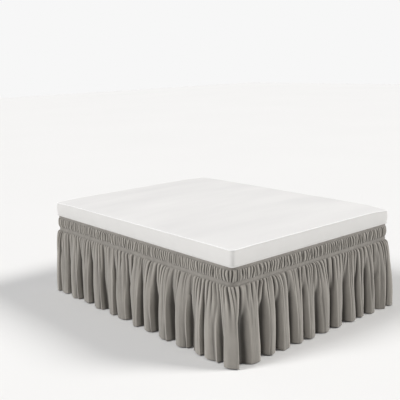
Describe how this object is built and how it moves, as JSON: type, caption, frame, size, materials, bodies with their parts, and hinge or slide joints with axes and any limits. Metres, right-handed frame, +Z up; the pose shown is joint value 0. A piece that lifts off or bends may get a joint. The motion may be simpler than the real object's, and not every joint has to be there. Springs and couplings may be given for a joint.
{
  "type": "bed skirt on a bed base with mattress",
  "caption": "Gathered wrap-around bed skirt with a shirred elastic heading, fitted round a plain bed base on legs that carries a thin mattress.",
  "frame": {"origin": "middle of the whole bed's footprint, on the floor it stands on", "axes": "+Z up, +Y from the foot of the bed to its head, +X to the right seen from the foot"},
  "size_m": [1.6222, 2.1322, 0.719],
  "materials": {
    "cloth": "matte",
    "ticking": "matte",
    "base_cover": "matte",
    "wood": "satin"
  },
  "bodies": {
    "root": {"top_binding": "cloth", "shirred_heading": "cloth", "waist_tape": "cloth", "drop_foot": "cloth", "drop_right": "cloth", "drop_head": "cloth", "drop_left": "cloth", "mattress": "ticking", "bed_base": "base_cover", "leg_foot_left": "wood", "leg_foot_right": "wood", "leg_head_left": "wood", "leg_head_right": "wood"}
  },
  "joints": []
}
